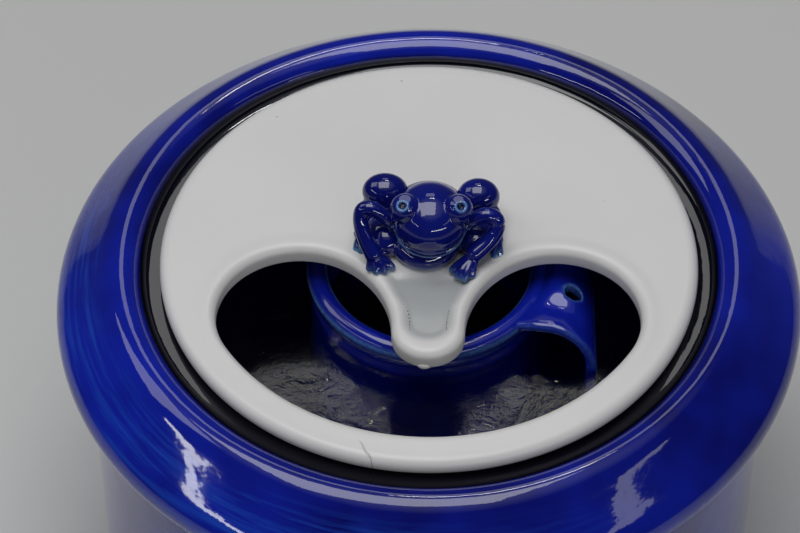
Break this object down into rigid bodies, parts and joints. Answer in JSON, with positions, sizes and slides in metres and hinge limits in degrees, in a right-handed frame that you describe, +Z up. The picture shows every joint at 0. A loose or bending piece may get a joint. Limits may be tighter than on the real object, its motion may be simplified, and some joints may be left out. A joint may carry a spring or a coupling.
{
  "type": "pet water fountain",
  "caption": "Glazed ceramic pet water fountain: a round pot, a lift-off porcelain cover with a drinking opening, a frog spout, and a small pump in its own well.",
  "frame": {"origin": "centre of the pot's foot, on the surface it stands on", "axes": "+Z up; the drinking opening and the tongue face -Y; +X to the viewer's right"},
  "size_m": [0.2412, 0.241, 0.1757],
  "materials": {
    "cobalt_glaze": "gloss",
    "white_porcelain": "satin",
    "black_plastic": "matte",
    "grey_plastic": "matte",
    "clear_silicone": "satin",
    "black_rubber": "matte",
    "core_steel": "satin",
    "copper_coil": "satin",
    "ferrite": "matte",
    "shaft_ceramic": "gloss"
  },
  "bodies": {
    "pot": {"pot_bowl": "cobalt_glaze", "pump_well": "cobalt_glaze", "intake_hood": "cobalt_glaze", "strainer_base": "black_plastic", "strainer_lid": "black_plastic", "suction_cups": "black_rubber", "pump_housing": "black_plastic", "motor_core": "core_steel", "motor_coil": "copper_coil", "rear_cap": "black_plastic", "cord_gland": "black_rubber", "impeller_shaft": "shaft_ceramic", "rear_bush": "black_rubber", "volute_cover": "black_plastic", "volute_seal": "black_rubber", "outlet_spout": "black_plastic", "riser_tube": "clear_silicone"},
    "cover": {"cover_disc": "white_porcelain", "outlet_collar": "white_porcelain", "frog_body": "cobalt_glaze", "frog_head": "cobalt_glaze", "frog_eyes": "cobalt_glaze", "frog_hind_leg_right": "cobalt_glaze", "frog_hind_leg_left": "cobalt_glaze", "frog_arm_right": "cobalt_glaze", "frog_arm_left": "cobalt_glaze", "frog_hands": "cobalt_glaze", "frog_feet": "cobalt_glaze"},
    "rotor": {"rotor_magnet": "ferrite", "impeller": "grey_plastic"},
    "regulator": {"flow_regulator": "grey_plastic"}
  },
  "joints": [
    {"name": "cover_lift", "type": "slide", "parent": "pot", "child": "cover", "axis": [0, 0, 1], "range_m": [0, 0.06]},
    {"name": "impeller_spin", "type": "hinge", "parent": "pot", "child": "rotor", "pos_m": [0, 0.009, 0.036], "axis": [0, 1, 0], "continuous": true},
    {"name": "flow_regulator_turn", "type": "hinge", "parent": "pot", "child": "regulator", "pos_m": [0, -0.002, 0.036], "axis": [0, -1, 0], "range_deg": [0, 45]}
  ]
}
